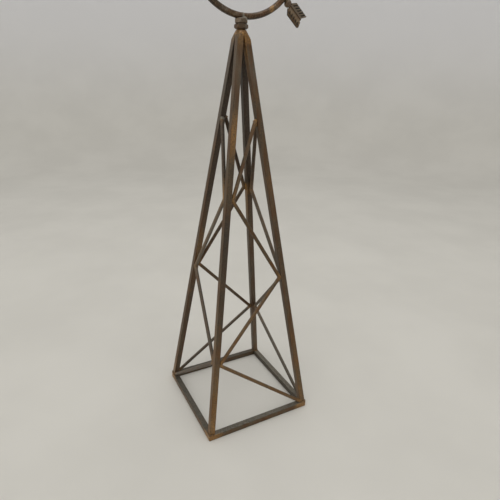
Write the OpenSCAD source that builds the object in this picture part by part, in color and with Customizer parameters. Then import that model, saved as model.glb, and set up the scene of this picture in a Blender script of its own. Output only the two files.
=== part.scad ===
// Garden obelisk with an armillary head: four leaning box-section legs on a square base frame,
// one zigzag rod in each face, and a ring with an arrow through it that turns on a threaded stud.
// Millimetres. +Z is up and the origin is the centre of the square that the base stands on.
// The front is the -Y side.

/* [Frame] */
// Outer width of the square base
base_w = 400; // [300:10:500]
// Height at which the outer corner lines of the four legs would meet
meet_h = 1427; // [1200:1:1600]
// Height of the flat on top of the four leg tips
tip_h = 1294; // [1080:1:1460]
// Outer width of the square tube in the legs and in the base
tube_w = 20; // [16:1:22]
// Wall of the square tube
tube_wall = 1.5; // [1:0.5:2.5]
// Outer corner radius of the square tube
tube_corner = 2; // [1.6:0.1:3]
// Radius that the base frame's four upright corners are ground to
base_corner = 4; // [0.5:0.5:4.5]
// Radius of the flat on the ground leg tips
tip_r = 15; // [13:0.5:16]

/* [Zigzag rods] */
// Diameter of the round rod in each face
rod_d = 12.5; // [8:0.5:14]
// Depth of the rod's centre line behind the outer face of the legs
rod_inset = 6.5; // [6.5:0.5:11]
// Centre line radius of the bends
bend_r = 10; // [8:1:14]
// Heights of the front rod's foot, three bends and top end
front_h = [24, 266, 529, 807, 1050]; // [20:1:1150]
// Heights of the right rod's foot, three bends and top end
right_h = [21, 276, 521, 799, 1066]; // [20:1:1150]
// Heights of the back rod's foot, three bends and top end
back_h = [19, 272, 526, 808, 1058]; // [20:1:1150]
// Heights of the left rod's foot, three bends and top end
left_h = [19, 272, 524, 810, 1052]; // [20:1:1150]

/* [Neck] */
// Diameter of the threaded stud
stud_d = 24; // [20:1:24]
// Size of the hexagon nuts across their flats
nut_flats = 36; // [34:0.5:40]
// Height of each hexagon nut
nut_h = 14.5; // [13:0.5:17]
// Height of the bare stud between the leg tips and the lock nut
neck_gap = 2.8; // [2.5:0.1:4]
// How far the lock nut is turned from having its flats at the front and back, in degrees
lock_nut_turn = -27; // [-30:1:30]
// How far the boss nut is turned from having its flats at the front and back, in degrees
boss_nut_turn = 3; // [-30:1:30]

/* [Rings] */
// Centre line radius of the meridian ring
ring_r = 175; // [150:1:185]
// Diameter of the tube in the meridian ring
ring_d = 18; // [16:1:20]
// Diameter of the round bar in the equatorial ring
equator_d = 12; // [10:1:16]
// Wall of the meridian ring's tube
ring_wall = 1.5; // [1:0.5:2]
// How far the lowest point of the meridian ring sinks into the top of the boss nut
saddle_depth = 3.5; // [2:0.5:4]
// How far the ring is welded off the centre of the stud, towards the arrow's tail
ring_offset = 10; // [0:1:12]

/* [Arrow] */
// Angle of the arrow below level at its tail, in degrees
arrow_tilt = 41.4; // [30:0.2:50]
// Diameter of the arrow's rod
shaft_d = 8; // [6:1:9]
// Diameter of the balls that hold the arrow in the ring
ball_d = 22.8; // [18:0.2:24]
// Distance from the tail ball's centre to where the feathers' rear edges would meet the rod
feather_len = 58.5; // [50:0.5:70]
// Height of a feather from the rod's centre line to its outer edge
feather_h = 24; // [18:0.5:26]
// How far the outer edge is swept back at the feather's front end
sweep_front = 20.5; // [12:0.5:24]
// How far the outer edge is swept back at the feather's rear end
sweep_rear = 15.5; // [10:0.5:20]
// Thickness of a feather's plate
feather_t = 2.6; // [2:0.2:4]
// Height of the ribs and of the rail above each side of the plate
rib_rise = 0.9; // [0.4:0.1:1.5]
// Number of ribs on each side of a feather
rib_count = 6; // [4:1:8]
// Length of the arrowhead
head_len = 66; // [50:1:80]
// Width of the arrowhead across its barbs
head_w = 46; // [30:1:60]

/* [Hidden] */
$fn = 48;

bronze = "#5d4630";
dark_bronze = "#40352a";
brass = "#8d6a3c";

// Small clearances between pieces that touch
weld_gap = 0.2;
run_gap = 0.05;
// How a rod's straight pieces run into its bends
bend_lap = 0.8;
bend_step = 0.06;
// How far the rim of a rod's square top end runs into its leg
end_lap = 0.5;

// Legs: how much the half width shrinks for each millimetre of height, and the two lean angles
taper = base_w / 2 / meet_h;
face_lean = atan(taper);
corner_lean = atan(taper * sqrt(2));
// The tips are ground to a cone, and below plug_h the tubes are hollow
tip_slope = 0.625;
cone_h = 29;
plug_h = tip_h - 36;
stud_foot_h = plug_h + 4;

// Neck heights
weld_h = 1.5;
lock_z = tip_h + neck_gap;
boss_z = lock_z + nut_h + weld_gap;
ring_foot_z = boss_z + nut_h - saddle_depth + ring_d / 2;
stud_top_z = ring_foot_z - ring_d / 2 - 2.5;
nut_corners_r = nut_flats / 2 / cos(30);
chamfer_w = 5;
chamfer_slope = 0.64;

// Armillary
ring_z = ring_foot_z + ring_r;
equator_r = ring_r - ring_d / 2 - equator_d / 2 - weld_gap;
ball_at = ring_r + ring_d / 2 + ball_d / 2;
shaft_bore_r = shaft_d / 2 + run_gap;
hub_r = 5;
// The feathers' sleeve stands against the rim of the tail ball's bore
hub_start = ball_at + sqrt(pow(ball_d / 2, 2) - pow(shaft_bore_r, 2)) + 2 * run_gap;
hub_end = ball_at + feather_len + 5;
shaft_end = hub_end - 4;
rail_w = 3.5;
ball_clear = 1.2;

// The arrow is as long at its point as its feathers reach sideways on the other side
feather_tip = ball_at + feather_len + sweep_rear;
tail_reach = ring_offset + feather_tip * cos(arrow_tilt) + feather_h * sin(arrow_tilt);
point_at = (tail_reach + ring_offset) / cos(arrow_tilt);
socket_at = point_at - head_len;
socket_depth = head_len * 0.4;

// ---------- helpers ----------

// Half width of the obelisk at height z, to the outer corner lines of the legs
function half_w(z) = base_w / 2 - taper * z;

function unit(v) = v / norm(v);

// Signed angle from direction a to direction b, in degrees
function turn(a, b) = atan2(a.x * b.y - a.y * b.x, a.x * b.x + a.y * b.y);

// Square tube's outline, with its corner on the origin
module tube_section(inset = 0) {
    r = tube_corner - inset;
    w = tube_w - 2 * inset;
    translate([inset, inset]) {
        translate([r, 0]) square([w - 2 * r, w]);
        translate([0, r]) square([w, w - 2 * r]);
        for (x = [r, w - r], y = [r, w - r]) translate([x, y]) circle(r);
    }
}

// A bar or a bore along the leg line of the front left corner, from below the floor to z_top
module leg_line(inset, z_top) {
    intersection() {
        translate([-base_w / 2, -base_w / 2, 0])
            rotate([0, 0, 45])
                rotate([0, corner_lean, 0])
                    rotate([0, 0, -45])
                        translate([0, 0, -60])
                            linear_extrude(height = meet_h + 60) tube_section(inset);
        translate([-base_w, -base_w, -100]) cube([base_w * 1.2, base_w * 1.2, z_top + 100]);
    }
}

// Everything inside the cone that the leg tips are ground to
module tip_cone() {
    wide = base_w;
    low = tip_h - cone_h;
    rotate_extrude()
        polygon([
            [0, tube_w], [wide, tube_w], [wide, low],
            [tip_r + cone_h * tip_slope, low], [tip_r, tip_h], [0, tip_h]
        ]);
}

// One leg in the front left corner, standing on the base frame
module leg() {
    intersection() {
        difference() {
            leg_line(0, meet_h);
            leg_line(tube_wall, plug_h);
            translate([0, 0, stud_foot_h]) cylinder(d = stud_d, h = meet_h - stud_foot_h);
        }
        translate([-base_w, -base_w, 0]) cube([base_w, base_w, meet_h]);
        tip_cone();
    }
}

// Outline of the whole base frame, with its ground corners
module base_outline() {
    side = base_w - 2 * base_corner;
    square([base_w, side], center = true);
    square([side, base_w], center = true);
    for (x = [-side / 2, side / 2], y = [-side / 2, side / 2]) translate([x, y]) circle(base_corner);
}

// One base rail at the front, mitred at both ends
module base_rail() {
    intersection() {
        translate([base_w / 2, -base_w / 2, 0])
            rotate([0, -90, 0])
                linear_extrude(height = base_w)
                    difference() {
                        tube_section();
                        tube_section(tube_wall);
                    }
        linear_extrude(height = tube_w)
            intersection() {
                polygon([[-base_w / 2, -base_w / 2], [base_w / 2, -base_w / 2], [0, 0]]);
                base_outline();
            }
    }
}

// Straight piece of rod between two points of the XY plane. It is a hair thinner than the bends
// and runs a little way into them, so that the two join along a clean circle.
module rod_piece(p, q) {
    d = q - p;
    translate([p.x, p.y, 0])
        rotate([0, 0, atan2(d.y, d.x)])
            rotate([0, 90, 0])
                translate([0, 0, -bend_lap])
                    cylinder(d = rod_d - 2 * bend_step, h = norm(d) + 2 * bend_lap);
}

// Bend at point p, from direction a to direction b
module rod_bend(p, a, b) {
    t = turn(a, b);
    side = t > 0 ? 1 : -1;
    normal = side * [-a.y, a.x];
    centre = p - a * bend_r * tan(abs(t) / 2) + normal * bend_r;
    start = atan2(-normal.y, -normal.x) + (t > 0 ? 0 : t);
    translate([centre.x, centre.y, 0])
        rotate([0, 0, start])
            rotate_extrude(angle = abs(t))
                translate([bend_r, 0]) circle(d = rod_d);
}

// Round rod through a list of points of the XY plane, bent at each inner point
module bent_rod(pts) {
    n = len(pts);
    dirs = [for (i = [0 : n - 2]) unit(pts[i + 1] - pts[i])];
    cut = [for (i = [0 : n - 1])
        i == 0 || i == n - 1 ? 0 : bend_r * tan(abs(turn(dirs[i - 1], dirs[i])) / 2)];
    for (i = [0 : n - 2])
        rod_piece(pts[i] + dirs[i] * cut[i], pts[i + 1] - dirs[i] * cut[i + 1]);
    for (i = [1 : n - 2])
        rod_bend(pts[i], dirs[i - 1], dirs[i]);
}

// Zigzag rod in the front face. Its foot and every second bend are on the side given by side.
// The rod lies in a plane behind the outer face, so its points are x and the distance up the slope.
module zigzag(heights, side) {
    n = len(heights);
    nominal = [for (i = [0 : n - 1])
        [side * (i % 2 == 0 ? 1 : -1) * (half_w(heights[i]) - tube_w), heights[i] / cos(face_lean)]];
    steps = [for (i = [0 : n - 2]) unit(nominal[i + 1] - nominal[i])];
    // A bend touches its leg
    back_off = [for (i = [0 : n - 1])
        i == 0 || i == n - 1
            ? 0
            : rod_d / 2 + weld_gap + 0.2
                - bend_r * (1 / cos(turn(steps[i - 1], steps[i]) / 2) - 1)];
    points = [for (i = [0 : n - 1])
        [nominal[i].x - sign(nominal[i].x) * back_off[i], nominal[i].y]];
    // The foot runs on into its corner, where it is cut flush
    first = points[0] - unit(points[1] - points[0]) * rod_d;
    // The top end is cut square, and the near side of its rim meets the leg
    up_leg = [-sign(points[n - 1].x) * taper * cos(face_lean), 1];
    short_of = rod_d / 2 / tan(abs(turn(steps[n - 2], up_leg)));
    last = points[n - 1] - steps[n - 2] * (short_of - end_lap);
    path = [for (i = [0 : n - 1]) i == 0 ? first : i == n - 1 ? last : points[i]];
    difference() {
        translate([0, rod_inset - base_w / 2, 0])
            rotate([-face_lean, 0, 0])
                rotate([90, 0, 0])
                    bent_rod(path);
        leg_line(0, meet_h);
        mirror([1, 0, 0]) leg_line(0, meet_h);
        translate([-base_w, -base_w, -100]) cube([2 * base_w, 2 * base_w, 100 + tube_w]);
    }
}

// Hexagon nut with rounded corners at both faces, standing on z = 0
module hex_nut(angle) {
    face_r = nut_corners_r - chamfer_w;
    // The chamfer cones run on past the hexagon's corners
    wide_r = nut_corners_r + 1;
    rise = (wide_r - face_r) * chamfer_slope;
    difference() {
        intersection() {
            rotate([0, 0, angle]) cylinder(r = nut_corners_r, h = nut_h, $fn = 6);
            rotate_extrude()
                polygon([
                    [0, 0], [face_r, 0], [wide_r, rise],
                    [wide_r, nut_h - rise], [face_r, nut_h], [0, nut_h]
                ]);
        }
        translate([0, 0, -1]) cylinder(r = stud_d / 2 + run_gap, h = nut_h + 2);
    }
}

// Solid of the meridian ring's outside or, with an inset, of the space in its tube
module ring_torus(inset = 0) {
    translate([ring_offset, 0, ring_z])
        rotate([90, 0, 0])
            rotate_extrude()
                translate([ring_r, 0]) circle(d = ring_d - 2 * inset);
}

// Places its children in the arrow's own axes: +X runs from the ring's centre to the tail
module in_arrow_axes() {
    translate([ring_offset, 0, ring_z]) rotate([0, arrow_tilt, 0]) children();
}

// Round bar along the arrow's X axis
module along_arrow(x0, x1, r0, r1) {
    translate([x0, 0, 0]) rotate([0, 90, 0]) cylinder(h = x1 - x0, r1 = r0, r2 = r1);
}

// Outline of a strip across a feather, between two shares of its length and two heights
module feather_strip(share0, share1, h0, h1, thick) {
    corner = function(share, h)
        let (lean = sweep_front + (sweep_rear - sweep_front) * share)
        [ball_at + feather_len * share + lean * h / feather_h, h];
    rotate([90, 0, 0])
        linear_extrude(height = thick, center = true)
            polygon([
                corner(share0, h0), corner(share1, h0), corner(share1, h1), corner(share0, h1)
            ]);
}

// One feather standing up from the arrow's axis: a plate, a rail at its root and raised ribs.
// Its front edge aims at the ball's centre and is cut round, clear of the ball.
module feather() {
    raised = feather_t + 2 * rib_rise;
    pitch = 1 / rib_count;
    difference() {
        union() {
            feather_strip(0, 1, 0, feather_h, feather_t);
            feather_strip(0, 1, hub_r - 1, hub_r + rail_w, raised);
            for (i = [0 : rib_count - 1])
                feather_strip(
                    (i + 0.5) * pitch, (i + 1) * pitch, hub_r + rail_w - 0.5, feather_h - 1.2, raised
                );
        }
        translate([ball_at, 0, 0])
            rotate([90, 0, 0])
                cylinder(d = ball_d + 2 * ball_clear, h = feather_h, center = true);
    }
}

// ---------- sub-parts ----------

module leg_front_left() {
    color(bronze) leg();
}

module leg_front_right() {
    color(bronze) mirror([1, 0, 0]) leg();
}

module leg_back_right() {
    color(bronze) rotate([0, 0, 180]) leg();
}

module leg_back_left() {
    color(bronze) mirror([0, 1, 0]) leg();
}

module base_rail_front() {
    color(dark_bronze) base_rail();
}

module base_rail_right() {
    color(dark_bronze) rotate([0, 0, 90]) base_rail();
}

module base_rail_back() {
    color(dark_bronze) rotate([0, 0, 180]) base_rail();
}

module base_rail_left() {
    color(dark_bronze) rotate([0, 0, -90]) base_rail();
}

module zigzag_front() {
    color(bronze) zigzag(front_h, 1);
}

module zigzag_right() {
    color(bronze) rotate([0, 0, 90]) zigzag(right_h, -1);
}

module zigzag_back() {
    color(bronze) rotate([0, 0, 180]) zigzag(back_h, 1);
}

module zigzag_left() {
    color(bronze) rotate([0, 0, -90]) zigzag(left_h, -1);
}

// Threaded stud held between the four leg tips
module apex_stud() {
    color(dark_bronze)
        translate([0, 0, stud_foot_h])
            cylinder(d = stud_d, h = stud_top_z - stud_foot_h);
}

// Ring of weld metal around the stud on top of the leg tips
module apex_weld() {
    color(brass)
        translate([0, 0, tip_h])
            difference() {
                cylinder(r1 = tip_r, r2 = tip_r - 1.4, h = weld_h);
                translate([0, 0, -1]) cylinder(d = stud_d, h = weld_h + 2);
            }
}

// Nut that locks the head, screwed up against the boss nut
module lock_nut() {
    color(dark_bronze) translate([0, 0, lock_z]) hex_nut(lock_nut_turn);
}

// Nut welded under the meridian ring, with a saddle for the ring in its top
module boss_nut() {
    color(dark_bronze)
        difference() {
            translate([0, 0, boss_z]) hex_nut(boss_nut_turn);
            ring_torus(-run_gap);
        }
}

// Upright ring of round tube, drilled on both sides for the arrow
module meridian_ring() {
    color(bronze)
        difference() {
            ring_torus();
            ring_torus(ring_wall);
            in_arrow_axes()
                along_arrow(-ring_r - ring_d, ring_r + ring_d, shaft_bore_r, shaft_bore_r);
        }
}

// Smaller ring square to the arrow, welded to the inside of the meridian ring
module equatorial_ring() {
    color(bronze)
        in_arrow_axes()
            rotate([0, 90, 0])
                rotate_extrude()
                    translate([equator_r, 0]) circle(d = equator_d);
}

module arrow_shaft() {
    color(bronze)
        in_arrow_axes()
            along_arrow(-socket_at - socket_depth, shaft_end, shaft_d / 2, shaft_d / 2);
}

// Ball on the arrow's rod, outside the ring at x = at
module shaft_ball(at) {
    in_arrow_axes()
        difference() {
            translate([at, 0, 0]) sphere(d = ball_d);
            along_arrow(at - ball_d, at + ball_d, shaft_bore_r, shaft_bore_r);
        }
}

module tail_ball() {
    color(dark_bronze) shaft_ball(ball_at + run_gap);
}

module point_ball() {
    color(dark_bronze) shaft_ball(-ball_at - run_gap);
}

// Cast tail: two ribbed feathers in the plane of the meridian ring, on a sleeve
module arrow_fletching() {
    color(bronze)
        in_arrow_axes()
            difference() {
                union() {
                    along_arrow(hub_start, hub_end, hub_r, hub_r);
                    for (a = [0, 180]) rotate([a, 0, 0]) feather();
                }
                along_arrow(0, shaft_end + run_gap, shaft_bore_r, shaft_bore_r);
            }
}

// Cast barbed point on a tapered socket
module arrow_head() {
    barb = head_len * 0.2;
    socket_bottom = socket_at + socket_depth;
    color(bronze)
        in_arrow_axes()
            difference() {
                union() {
                    along_arrow(-point_at + head_len * 0.25, -socket_at, 3.5, 7);
                    rotate([90, 0, 0])
                        linear_extrude(height = 5, center = true)
                            polygon([
                                [-point_at, 0], [-socket_at + barb, head_w / 2],
                                [-socket_at, 5], [-socket_at, -5], [-socket_at + barb, -head_w / 2]
                            ]);
                }
                along_arrow(-socket_bottom - run_gap, 0, shaft_bore_r, shaft_bore_r);
            }
}

leg_front_left();
leg_front_right();
leg_back_right();
leg_back_left();
base_rail_front();
base_rail_right();
base_rail_back();
base_rail_left();
zigzag_front();
zigzag_right();
zigzag_back();
zigzag_left();
apex_stud();
apex_weld();
lock_nut();
boss_nut();
meridian_ring();
equatorial_ring();
arrow_shaft();
tail_ball();
point_ball();
arrow_fletching();
arrow_head();
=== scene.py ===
"""Garden obelisk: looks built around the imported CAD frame.

Metres, +Z up. The origin is the centre of the square base on the floor and the front is the -Y side.
"""
import math

import bmesh
import bpy
from mathutils import Matrix, Vector, noise


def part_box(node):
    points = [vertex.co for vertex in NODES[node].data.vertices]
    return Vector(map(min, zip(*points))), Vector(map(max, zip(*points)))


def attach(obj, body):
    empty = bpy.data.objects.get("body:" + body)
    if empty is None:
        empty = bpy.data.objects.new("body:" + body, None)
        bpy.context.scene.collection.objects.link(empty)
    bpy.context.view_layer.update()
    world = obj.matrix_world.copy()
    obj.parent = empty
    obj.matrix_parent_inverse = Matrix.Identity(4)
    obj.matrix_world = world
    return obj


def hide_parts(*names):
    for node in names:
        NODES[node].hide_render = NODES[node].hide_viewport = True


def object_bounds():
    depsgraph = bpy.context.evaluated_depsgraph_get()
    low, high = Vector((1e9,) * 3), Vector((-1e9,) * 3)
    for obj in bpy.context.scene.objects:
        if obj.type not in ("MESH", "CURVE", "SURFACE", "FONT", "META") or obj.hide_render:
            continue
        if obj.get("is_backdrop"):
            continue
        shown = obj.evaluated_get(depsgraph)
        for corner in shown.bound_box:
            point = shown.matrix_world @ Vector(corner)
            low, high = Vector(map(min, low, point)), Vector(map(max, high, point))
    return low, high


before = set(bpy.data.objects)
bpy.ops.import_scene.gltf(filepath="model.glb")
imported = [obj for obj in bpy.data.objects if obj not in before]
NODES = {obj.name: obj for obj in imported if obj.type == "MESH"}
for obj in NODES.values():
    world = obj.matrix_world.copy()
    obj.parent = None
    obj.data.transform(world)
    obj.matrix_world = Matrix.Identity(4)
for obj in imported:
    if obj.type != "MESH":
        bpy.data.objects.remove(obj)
CAD_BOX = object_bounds()
MM = 0.001

# ---------- measures: from the frame's boxes, or as in the CAD design ----------

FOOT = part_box("base_rail_front")
HALF_BASE = -FOOT[0].y
TUBE = FOOT[1].z
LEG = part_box("leg_front_left")
TIP_Z = LEG[1].z
# The legs stand on top of the base frame, and TAPER is how much the half width shrinks with the height
TAPER = (HALF_BASE + LEG[0].x) / TUBE
# Radius that the base frame's four upright corners are ground to
CORNER_R = 4 * MM
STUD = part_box("apex_stud")
STUD_R = STUD[1].x
LOCK_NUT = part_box("lock_nut")
NUT_H = LOCK_NUT[1].z - LOCK_NUT[0].z
NUT_APOTHEM = 18 * MM
BOSS_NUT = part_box("boss_nut")
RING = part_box("meridian_ring")
RING_C = (RING[0] + RING[1]) / 2
RING_TUBE_R = RING[1].y
RING_R = (RING[1].x - RING[0].x) / 2 - RING_TUBE_R

# The rods: heights of each rod's foot, three bends and top end, the side of its foot, and how far its
# face is turned from the front. A bend is BEND_GAP off its leg, and a top end's rim END_LAP inside it.
ROD_R = 6.25 * MM
ROD_INSET = 6.5 * MM
BEND_R = 10 * MM
BEND_GAP = 0.4 * MM
END_LAP = 0.5 * MM
RODS = {
    "front": ((0.024, 0.266, 0.529, 0.807, 1.050), 1, 0),
    "right": ((0.021, 0.276, 0.521, 0.799, 1.066), -1, 90),
    "back": ((0.019, 0.272, 0.526, 0.808, 1.058), 1, 180),
    "left": ((0.019, 0.272, 0.524, 0.810, 1.052), -1, 270),
}

# The arrow's own axes: +X runs from the ring's centre to the tail
ARROW_TILT = math.radians(41.4)
ARROW = Matrix.Translation(RING_C) @ Matrix.Rotation(ARROW_TILT, 4, "Y")
SHAFT_R = 4 * MM
BALL_R = 11.4 * MM
BALL_AT = RING_R + RING_TUBE_R + BALL_R
FEATHER_LEN = 58.5 * MM
FEATHER_H = 24 * MM
SWEEP_FRONT = 20.5 * MM
SWEEP_REAR = 15.5 * MM
SLEEVE_END = BALL_AT + FEATHER_LEN + 5 * MM
HEAD_POINT = (RING_C.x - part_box("arrow_head")[0].x) / math.cos(ARROW_TILT)
HEAD_LEN = 66 * MM
HEAD_HALF = 23 * MM


def half_w(z):
    """Half width of the obelisk at height z, to the outer faces of the legs."""
    return HALF_BASE - TAPER * z


def add_object(name, data):
    """A new object in the scene."""
    made = bpy.data.objects.new(name, data)
    bpy.context.scene.collection.objects.link(made)
    return made


def turns(count):
    """Angles at an even spacing round a circle."""
    return [2 * math.pi * i / count for i in range(count)]


def polar(radius, turn, z):
    """Point at a radius and an angle round the Z axis, at height z."""
    return Vector((radius * math.cos(turn), radius * math.sin(turn), z))


# ---------- camera and light ----------

CAMERA_AT = (-0.6320, -1.2496, 1.1516)
CAMERA_YAW = math.radians(28.57)
CAMERA_PITCH = math.radians(21.33)
CAMERA_ROLL = math.radians(1.474)
LENS_MM = 30.81
SENSOR_MM = 36
WARM_WHITE = (1.0, 0.985, 0.96)


def make_camera():
    """The camera stands in front and to the left, and looks down at the obelisk."""
    data = bpy.data.cameras.new("camera")
    data.sensor_width = SENSOR_MM
    data.lens = LENS_MM
    camera = add_object("camera", data)
    # A camera looks down its own -Z axis, so it is tipped up from looking straight down
    roll = Matrix.Rotation(CAMERA_ROLL, 4, "Z")
    tip = Matrix.Rotation(math.pi / 2 - CAMERA_PITCH, 4, "X")
    yaw = Matrix.Rotation(-CAMERA_YAW, 4, "Z")
    camera.matrix_world = Matrix.Translation(CAMERA_AT) @ yaw @ tip @ roll
    bpy.context.scene.camera = camera


def area_light(name, place, aim, size, power):
    """Square soft light at a place, aimed at a point."""
    data = bpy.data.lights.new(name, "AREA")
    data.shape = "SQUARE"
    data.size = size
    data.energy = power
    data.color = WARM_WHITE
    light = add_object(name, data)
    light.location = place
    light.rotation_euler = (Vector(aim) - Vector(place)).to_track_quat("-Z", "Y").to_euler()
    return light


def make_light(floor):
    """Soft studio light: a pale world, a broad ceiling, and a weak light from the left."""
    world = bpy.data.worlds.new("world")
    world.use_nodes = True
    sky = world.node_tree.nodes["Background"]
    sky.inputs["Color"].default_value = (1.0, 0.988, 0.965, 1)
    sky.inputs["Strength"].default_value = 0.50
    bpy.context.scene.world = world
    area_light("ceiling", (-0.5, -0.5, 6.2), (-0.5, -0.5, 0), size=6.0, power=167)
    side = area_light("left_wall", (-3.2, 0.2, 1.5), (0, 0, 0.7), size=2.4, power=18)
    # The side light leaves the floor out, where it would make a bright patch beside the object
    unlit = bpy.data.collections.new("unlit_by_side_light")
    unlit.objects.link(floor)
    unlit.collection_objects[0].light_linking.link_state = "EXCLUDE"
    side.light_linking.receiver_collection = unlit
    bpy.context.scene.view_settings.view_transform = "Standard"


# ---------- materials ----------

def srgb(code):
    """Linear colour from an sRGB hex code."""
    parts = [int(code[i : i + 2], 16) / 255 for i in (1, 3, 5)]
    return (*[c / 12.92 if c <= 0.04045 else ((c + 0.055) / 1.055) ** 2.4 for c in parts], 1.0)


class Shader:
    """One material's node tree, written as nested calls on sockets and numbers."""

    def __init__(self, name):
        self.material = bpy.data.materials.new(name)
        self.material.use_nodes = True
        self.tree = self.material.node_tree
        self.tree.nodes.clear()
        coords = self.node("TexCoord")
        self.place = coords.outputs["Object"]
        self.x, self.y, self.z = self.node("SeparateXYZ", {0: self.place}).outputs
        facing = self.node("SeparateXYZ", {0: coords.outputs["Normal"]})
        self.nx, self.ny, self.nz = facing.outputs

    def node(self, kind, inputs=(), **settings):
        """A new shader node, with its inputs linked to sockets or set to values."""
        made = self.tree.nodes.new("ShaderNode" + kind)
        for key, value in settings.items():
            setattr(made, key, value)
        for key, value in dict(inputs).items():
            if isinstance(value, bpy.types.NodeSocket):
                self.tree.links.new(value, made.inputs[key])
            else:
                made.inputs[key].default_value = value
        return made

    def math(self, operation, *values):
        return self.node("Math", enumerate(values), operation=operation).outputs[0]

    def add(self, *values):
        total = values[0]
        for value in values[1:]:
            total = self.math("ADD", total, value)
        return total

    def times(self, *values):
        total = values[0]
        for value in values[1:]:
            total = self.math("MULTIPLY", total, value)
        return total

    def minus(self, value, less):
        return self.math("SUBTRACT", value, less)

    def size(self, value):
        return self.math("ABSOLUTE", value)

    def ramp(self, value, low, high, start=0.0, end=1.0):
        """Smooth step from start to end as value goes from low to high."""
        inputs = {"Value": value, "From Min": low, "From Max": high, "To Min": start, "To Max": end}
        return self.node("MapRange", inputs, interpolation_type="SMOOTHSTEP").outputs[0]

    def along(self, value, stops):
        """Smooth curve through (value, level) stops, level before the first and after the last."""
        level = stops[0][1]
        for (start, low), (end, high) in zip(stops, stops[1:]):
            if high != low:
                level = self.add(level, self.ramp(value, start, end, 0, high - low))
        return level

    def noise(self, scale, detail=3.0, stretch=(1, 1, 1), shift=0.0):
        """Noise from 0 to 1 with scale lumps in each metre, and more of them along a stretched axis."""
        moves = {"Vector": self.place, "Scale": stretch, "Location": (shift, shift, shift)}
        moved = self.node("Mapping", moves)
        inputs = {"Vector": moved.outputs[0], "Scale": scale, "Detail": detail, "Roughness": 0.55}
        return self.node("TexNoise", inputs).outputs["Fac"]

    def cells(self, scale):
        """Distance to the nearest of scattered points, about scale of them in each metre."""
        inputs = {"Vector": self.place, "Scale": scale}
        return self.node("TexVoronoi", inputs).outputs["Distance"]

    def mix(self, share, first, second):
        """Colour between two, with a share of the second. The node's colour sockets are 6, 7 and 2."""
        return self.node("Mix", {0: share, 6: first, 7: second}, data_type="RGBA").outputs[2]

    def finish(self, colour, roughness, height, relief, specular, metallic=0.0):
        """Surface from a colour, a roughness and a height, where relief is the height's full depth."""
        bump = self.node("Bump", {"Height": height, "Distance": relief, "Strength": 1.0})
        surface = self.node("BsdfPrincipled", {
            "Base Color": colour, "Roughness": roughness, "Metallic": metallic,
            "Specular IOR Level": specular, "Normal": bump.outputs[0],
        })
        self.node("OutputMaterial", {"Surface": surface.outputs[0]})
        return self.material


BROWN_COAT = (srgb("#322b26"), srgb("#554d43"))
GREEN_COAT = (srgb("#2f2f2a"), srgb("#57574e"))
NUT_COAT = (srgb("#3c2c24"), srgb("#554d43"))
OLIVE_BRONZE = srgb("#6a5840")
BROWN_BRONZE = srgb("#5b3f25")
ORANGE_BRONZE = srgb("#80562a")
GOLD = srgb("#a67c45")
# The grime colour below also serves as painted shade, and the dust colour as painted highlights, where a
# finish's tone calls for them
GRIME_AND_SHADE = srgb("#1c1712")
DUST_AND_LIGHT = srgb("#9b978a")


def patina(
    name, rub, gold, tone, coat=BROWN_COAT, grain=(1, 1, 1), dust=0.35, shift=0.0, edge=None, gloss=0.0
):
    """Dark coat with bronze rubbed over it, gold where it is worn or welded, and streaks, pits and grime,
    with painted shade and painted highlights where a finish's tone holds them.

    rub and gold take the shader and return where the bronze and the gold lie, from 0 to 1. tone returns
    how much lighter (to 1) or darker (to -1) the piece is. edge returns the distance to the piece's
    nearest edge. grain squeezes the streaks across the piece's length. gloss makes the coat smoother.
    """
    s = Shader(name)
    streaks = s.noise(34, 4, stretch=grain, shift=shift)
    clouds = s.noise(11, 3, shift=shift + 3.1)
    mottle = s.noise(230, 4, shift=shift)
    pit_field = s.add(s.cells(420), s.times(s.noise(60, 2, shift=shift), 0.35))
    pits = s.ramp(pit_field, 0.24, 0.34)
    chip_field = s.add(s.cells(260), s.times(s.noise(35, 2, shift=shift + 1.7), 0.5))
    chips = s.ramp(chip_field, 0.30, 0.36, 1, 0)

    bronze = s.mix(s.ramp(streaks, 0.35, 0.65), OLIVE_BRONZE, BROWN_BRONZE)
    bronze = s.mix(s.times(s.ramp(clouds, 0.54, 0.74), 0.5), bronze, ORANGE_BRONZE)
    base = s.mix(s.ramp(mottle, 0.3, 0.7, 0, 0.6), *coat)
    rubbed = s.times(rub(s), s.ramp(s.add(streaks, s.times(mottle, 0.6)), 0.55, 0.9, 0.4, 1.1))
    colour = s.mix(rubbed, base, bronze)
    golden = s.times(gold(s), s.ramp(mottle, 0.35, 0.58, 0.25, 1))
    colour = s.mix(s.math("MINIMUM", golden, 1.0), colour, GOLD)
    if edge is not None:
        rim = s.ramp(s.add(edge(s), s.times(mottle, 1.5 * MM)), 0.6 * MM, 3.2 * MM, 0.22, 0)
        colour = s.mix(rim, colour, GRIME_AND_SHADE)
    level = tone(s)
    # A lighter tone mixes in the dust colour and a darker one the grime colour: painted highlights and
    # painted shade where a finish's tone holds them, plain lighter and darker patches elsewhere
    colour = s.mix(s.math("MAXIMUM", level, 0.0), colour, DUST_AND_LIGHT)
    colour = s.mix(s.math("MAXIMUM", s.times(level, -1.0), 0.0), colour, GRIME_AND_SHADE)
    colour = s.mix(s.minus(1.0, s.ramp(pits, 0, 1, 0.45, 1)), colour, GRIME_AND_SHADE)
    settled = s.times(s.ramp(s.nz, 0.45, 0.95), s.ramp(mottle, 0.35, 0.65, dust * 0.35, dust * 1.1))
    colour = s.mix(s.add(settled, s.times(chips, 0.12)), colour, DUST_AND_LIGHT)

    plain_coat = s.ramp(mottle, 0.25, 0.75, 0.36, 0.54)
    roughness = s.add(plain_coat, s.times(settled, 0.5), s.times(golden, -0.08), -gloss)
    height = s.add(s.times(streaks, 0.35), s.times(mottle, 0.3), s.times(pits, 0.35))
    return s.finish(colour, roughness, height, 0.35 * MM, specular=0.45, metallic=0.35)


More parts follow.
